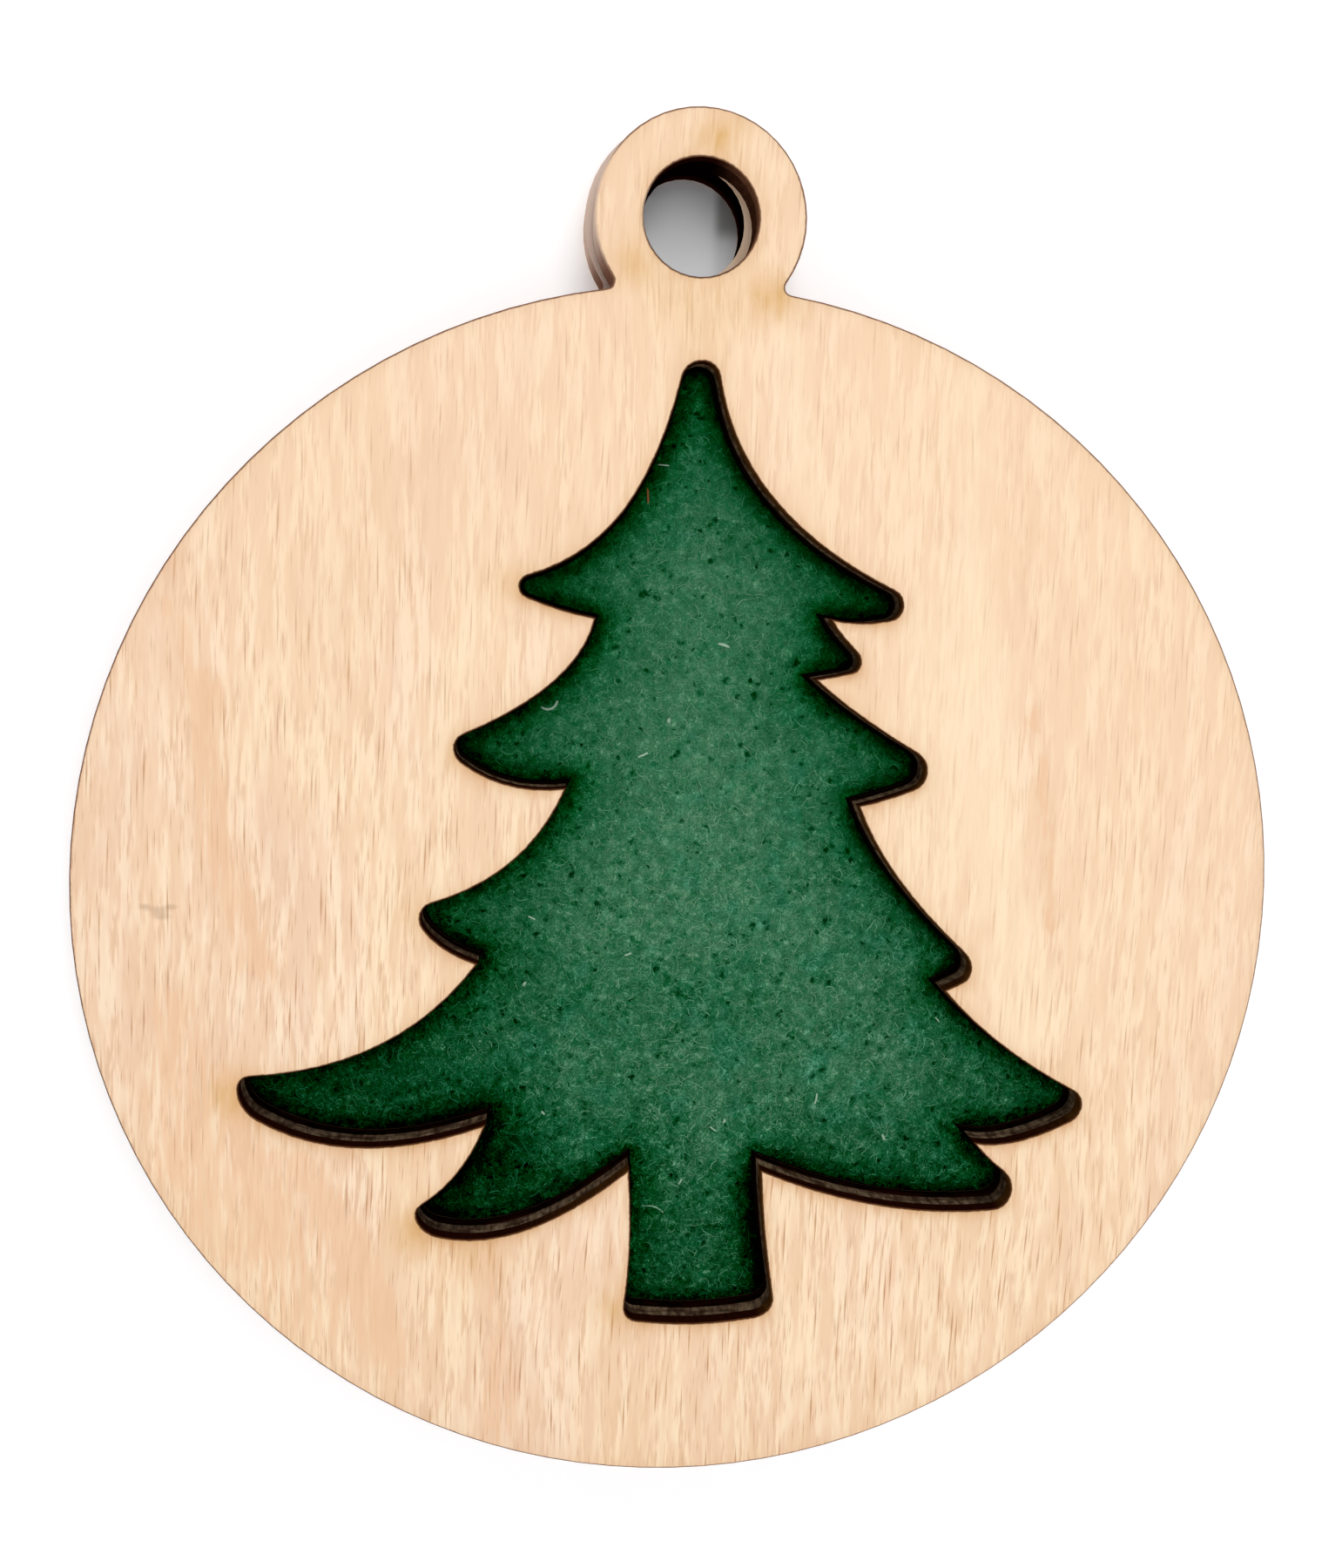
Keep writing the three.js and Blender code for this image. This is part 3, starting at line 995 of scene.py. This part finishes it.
def charred(name, dark, light):
    """A burnt ply: striated walls, paler at the rim and near black in the hole as painted shade, with
    painted light on walls facing left there, and pale beech ledges, painted lighter.
    """
    shader = Shader(name)
    place = shader.place()
    from_disc = shader.spread(place, DISC_MIDDLE)
    stripes = shader.noise(place, (3.5, 0.8, 3.5), 3.0, 0.55)
    burnt = shader.mix(shader.step(stripes, 0.25, 0.8), dark, light)
    stain = shader.noise(place, (0.5, 1.5, 0.5), shift=9.0)
    burnt = shader.mix(shader.step(stain, 0.45, 0.6, 0.0, 0.6), burnt, colour(40, 10, 3))
    beyond = shader.step(from_disc, DISC_ZONE - 0.2, DISC_ZONE)
    burnt = shader.mix(beyond, burnt, rim_wall(shader, place, stripes))
    # In the hole: near black as painted shade, with painted light on the walls that face the left
    painted_lit_wall = shader.mix(stripes, colour(50, 20, 10), colour(110, 70, 50))
    painted_hole_shade = shader.mix(stripes, colour(2, 0, 0), colour(16, 4, 2))
    walls = shader.mix(painted_left_light(shader, place), painted_hole_shade, painted_lit_wall)
    burnt = shader.mix(in_hole(shader, place), burnt, walls)
    # Flat faces: beech painted lighter and pinker, as painted light for the ledges in the hole's shade
    wood = shader.mix(0.4, beech_colour(shader, place)[0], colour(255, 222, 196))
    from_left = shader.spread(place, LOOP_LEFT)
    wood = shader.mix(shader.step(from_left, 5.0, 7.0, 0.8, 0.0), wood, colour(206, 189, 180))
    # Round the felt, the flat face is dark with soot and painted shade
    at_window = shader.step(from_disc, WINDOW_ZONE, WINDOW_ZONE + 0.5, 1.0, 0.0)
    wood = shader.mix(at_window, wood, colour(10, 4, 2))
    flat = shader.step(shader.math("ABSOLUTE", shader.axis(shader.facing(), "Y")), 0.5, 0.9)
    base = shader.mix(flat, burnt, wood)
    normal = shader.bump(stripes, 0.4, 0.03)
    return shader.surface(Base_Color=base, Roughness=0.5, Normal=normal, Specular_IOR_Level=0.0)


def dried_glue():
    """Clear dried wood glue, browned by the soot, thicker here and there."""
    shader = Shader("dried_glue")
    cloud = shader.noise(shader.place(), 0.6, 3.0)
    base = shader.mix(cloud, colour(60, 44, 30), colour(110, 86, 60))
    return shader.surface(Base_Color=base, Roughness=0.35)


def felt_colour(shader, place, level):
    """Green wool of a brightness with painted shade in it, more saturated where it is darker, with teal
    patches.
    """
    shades = (
        (0, 0, 0), (0, 27, 0), (0, 46, 7), (0, 60, 17), (4, 75, 29), (19, 93, 53),
        (45, 110, 72), (62, 123, 86), (78, 135, 98), (122, 170, 135),
    )
    base = shader.ramp(level, [(shade[1] / 255, colour(*shade)) for shade in shades])
    patch = shader.noise(place, 0.5, 3.0, 0.6)
    patch = shader.scaled(shader.value("teal"), 0.12, patch)
    teal = shader.times(base, (0.15, 0.9, 1.0, 1.0))
    base = shader.mix(shader.step(patch, 0.44, 0.7, 0.0, 0.4), base, teal)
    # Divided by the light that the walls leave, so the rendered shade beside them is not added to the
    # painted shade
    return shader.times(base, shader.math("DIVIDE", 1.0, shader.value("lit")))


def felt_contrast(shader, place):
    """How strongly the felt's fibres stand out: more towards the tree's foot."""
    return shader.step(shader.axis(place, "Z"), -60.0, -20.0, 1.45, 0.9)


def felt_material():
    """Felted green wool: curled fibres in tufts, with pits between them."""
    shader = Shader("green_felt")
    place = shader.place()
    warp = shader.noise(place, 2.5, output="Color")
    warped = shader.add("ShaderNodeVectorMath", {0: place, 1: warp}, operation="ADD")
    fuzz = shader.noise(warped, 4.5, 3.0, 0.7, distortion=1.0)
    tuft = shader.noise(place, 1.5, 3.0, 0.6, shift=7.0)
    curls = shader.noise(warped, 2.4, roughness=0.6, shift=13.0, distortion=0.8)
    fibres = shader.math("ABSOLUTE", shader.math("SUBTRACT", curls, 0.5))
    fibres = shader.step(fibres, 0.0, 0.05, 0.11, -0.03)
    texture = shader.scaled(shader.math("SUBTRACT", fuzz, 0.5), 0.45, fibres)
    texture = shader.scaled(shader.math("SUBTRACT", tuft, 0.5), 0.38, texture)
    level = shader.scaled(texture, felt_contrast(shader, place), shader.value("level"))
    # Painted shade in the pits
    pit = shader.step(shader.value("pit"), 0.0, 0.7)
    level = shader.scaled(pit, -0.2, level)
    normal = shader.bump(texture, 0.7, 0.22)
    base = felt_colour(shader, place, level)
    return shader.surface(Base_Color=base, Roughness=0.95, Normal=normal, Specular_IOR_Level=0.0)


def strand_material():
    """Single wool fibres, most of them of the felt's own green with its painted shade, and a few pale."""
    shader = Shader("felt_strands")
    place = shader.place()
    pale = shader.math("POWER", shader.value("tone"), 3.0)
    above = shader.scaled(pale, 0.17, -0.01)
    level = shader.scaled(above, felt_contrast(shader, place), shader.value("level"))
    base = felt_colour(shader, place, level)
    return shader.surface(Base_Color=base, Roughness=0.8, Specular_IOR_Level=0.0)


def plain_fibre(name, shade):
    """A foreign fibre of one colour, a little uneven along its length."""
    shader = Shader(name)
    cloud = shader.noise(shader.place(), 3.0)
    darker = tuple(0.7 * c for c in shade[:3]) + (1.0,)
    return shader.surface(Base_Color=shader.mix(cloud, darker, shade), Roughness=0.7)


def smooth_walls(node):
    """Shades a CAD node's curved walls as smooth, with its real edges sharp."""
    made = frame["nodes"][node]
    made.data.shade_smooth()
    weld = made.modifiers.new("weld", "WELD")
    weld.merge_threshold = WELD_DISTANCE * MM
    split = made.modifiers.new("sharp_edges", "EDGE_SPLIT")
    split.split_angle = math.radians(SHARP_DEGREES)


def dress(node, material):
    """Gives a CAD node its material."""
    slots = frame["nodes"][node].data.materials
    slots.clear()
    slots.append(material)


def plane(name, corners, material):
    """A four-cornered piece of the surroundings."""
    mesh = bpy.data.meshes.new(name)
    mesh.from_pydata([[c * MM for c in corner] for corner in corners], [], [(0, 1, 2, 3)])
    mesh.materials.append(material)
    linked(name, mesh)


def card_material():
    """White card, greyer behind the hole as painted shade, with painted shadow and light there. From behind
    and from very close, light passes through it.
    """
    shader = Shader("white_card")
    path = shader.tree.nodes.new("ShaderNodeLightPath")
    behind = shader.add("ShaderNodeNewGeometry", {}, "Backfacing")
    near = shader.math("LESS_THAN", path.outputs["Ray Length"], CARD_CLEAR_REACH * MM)
    unseen = shader.math("MULTIPLY", near, shader.math("SUBTRACT", 1.0, path.outputs["Is Camera Ray"]))
    place = shader.place()
    beyond = shader.step(shader.spread(place, HOLE_MIDDLE), HOLE_ZONE - 1.0, HOLE_ZONE + 0.6)
    height = shader.axis(place, "Z")
    # Painted shadow on the right of the card behind the hole, and painted light low behind it
    side = shader.step(shader.axis(place, "X"), 1.1, 1.8)
    shaded = shader.math("MULTIPLY", side, shader.step(height, -0.2, 0.9, 0.25, 1.0))
    tint = shader.mix(beyond, shader.mix(shaded, CARD_PAINTED_SHADE, CARD_PAINTED_SHADOW), CARD_WHITE)
    card = shader.add("ShaderNodeBsdfDiffuse", {"Color": tint})
    painted_low_light = shader.step(height, -2.5, 1.0, CARD_PAINTED_LOW_LIGHT, 0.0)
    glow = shader.step(beyond, 0.0, 1.0, painted_low_light, CARD_GLOW)
    seen = shader.math("MULTIPLY", glow, path.outputs["Is Camera Ray"])
    shine = shader.add("ShaderNodeEmission", {"Strength": seen})
    lit = shader.add("ShaderNodeAddShader", {0: card, 1: shine})
    clear = shader.add("ShaderNodeBsdfTransparent", {})
    through = shader.math("MAXIMUM", behind, unseen)
    return shader.finish(shader.add("ShaderNodeMixShader", {0: through, 1: lit, 2: clear}))


def floor_material():
    """Matt pale floor."""
    return Shader("pale_floor").surface(Base_Color=FLOOR_WHITE, Roughness=0.8)


def surroundings():
    """The white card behind the ornament and a pale floor below it."""
    low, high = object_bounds()
    card_y = high.y / MM + CARD_GAP
    floor_z = low.z / MM - FLOOR_DROP
    sides = (-CARD_HALF_WIDTH, CARD_HALF_WIDTH)
    foot = [(x, card_y, floor_z) for x in sides]
    top = [(x, card_y, CARD_TOP) for x in sides[::-1]]
    plane("backdrop", foot + top, card_material())
    front = [(x, card_y - FLOOR_DEPTH, floor_z) for x in sides]
    back = [(x, card_y + FLOOR_DEPTH, floor_z) for x in sides[::-1]]
    plane("floor", front + back, floor_material())


def aimed(name, data, place, aim, lean_degrees=0.0):
    """A lamp or camera at a place that looks at another, and leans to the left."""
    made = linked(name, data)
    made.location = Vector(place) * MM
    made.rotation_mode = "QUATERNION"
    lean = Quaternion((0, 0, 1), math.radians(lean_degrees))
    way = Vector(aim) * MM - made.location
    made.rotation_quaternion = way.to_track_quat("-Z", "Y") @ lean
    return made


def lamp(name, place, size, strength):
    """A square soft lamp aimed at the disc. strength is the light it gives a surface there."""
    light = bpy.data.lights.new(name, "AREA")
    light.size = size * MM
    aim = Vector((DISC_MIDDLE[0], 0, DISC_MIDDLE[1]))
    distance = (Vector(place) - aim).length * MM
    light.energy = strength * math.pi * math.pi * distance**2
    aimed(name, light, place, aim)


def world():
    """White surroundings, a weak light that is seen as pure white."""
    shader = Shader("studio", world=True)
    seen = shader.add("ShaderNodeLightPath", {}, "Is Camera Ray")
    light = shader.add("ShaderNodeBackground", {"Color": WHITE, "Strength": WORLD_LIGHT})
    white = shader.add("ShaderNodeBackground", {"Color": WHITE, "Strength": 1.0})
    chosen = shader.add("ShaderNodeMixShader", {0: seen, 1: light, 2: white})
    bpy.context.scene.world = shader.finish(chosen, "ShaderNodeOutputWorld")


def camera():
    """The photograph's camera."""
    data = bpy.data.cameras.new("camera")
    data.lens = LENS
    data.sensor_width = LONG_SENSOR_SIDE
    data.clip_start = MM
    made = aimed("camera", data, CAMERA_PLACE, CAMERA_AIM, CAMERA_ROLL_DEGREES)
    bpy.context.scene.camera = made


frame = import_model()
bpy.context.scene.view_settings.view_transform = "Standard"
camera()

face_wood = beech_face()
face_ply("front_face_ply", "front_face_veneer", True, face_wood)
face_ply("back_face_ply", "back_face_veneer", False, face_wood)

# The core ply's walls are paler than the others: partly its lighter char and partly painted sheen
core_wood = charred("core_edge", colour(60, 44, 32), colour(142, 118, 94))
inner_wood = charred("inner_edge", colour(3, 1, 0), colour(20, 9, 4))
for panel in ("front", "back"):
    for ply, wood in (("core", core_wood), ("inner", inner_wood)):
        dress(f"{panel}_{ply}_veneer", wood)
        smooth_walls(f"{panel}_{ply}_veneer")
glue = dried_glue()
dress("panel_glue_film", glue)
dress("felt_glue_film", glue)

bed = FeltBed("felt_insert")
felt = felt_sheet(bed, felt_material())
wool = strand_material()
pale_fibre = plain_fibre("lint", colour(162, 196, 170))
brown = plain_fibre("brown_fibre", colour(136, 84, 36))
loose = [strands(f"felt_strands_{seed}", bed, seed, wool) for seed in STRAND_SEEDS]
loose.append(bits("lint", LINT, bed, pale_fibre))
loose.append(bits("brown_fibre", [BROWN_FIBRE], bed, brown))

surroundings()
world()
for lamp_values in LAMPS:
    lamp(*lamp_values)
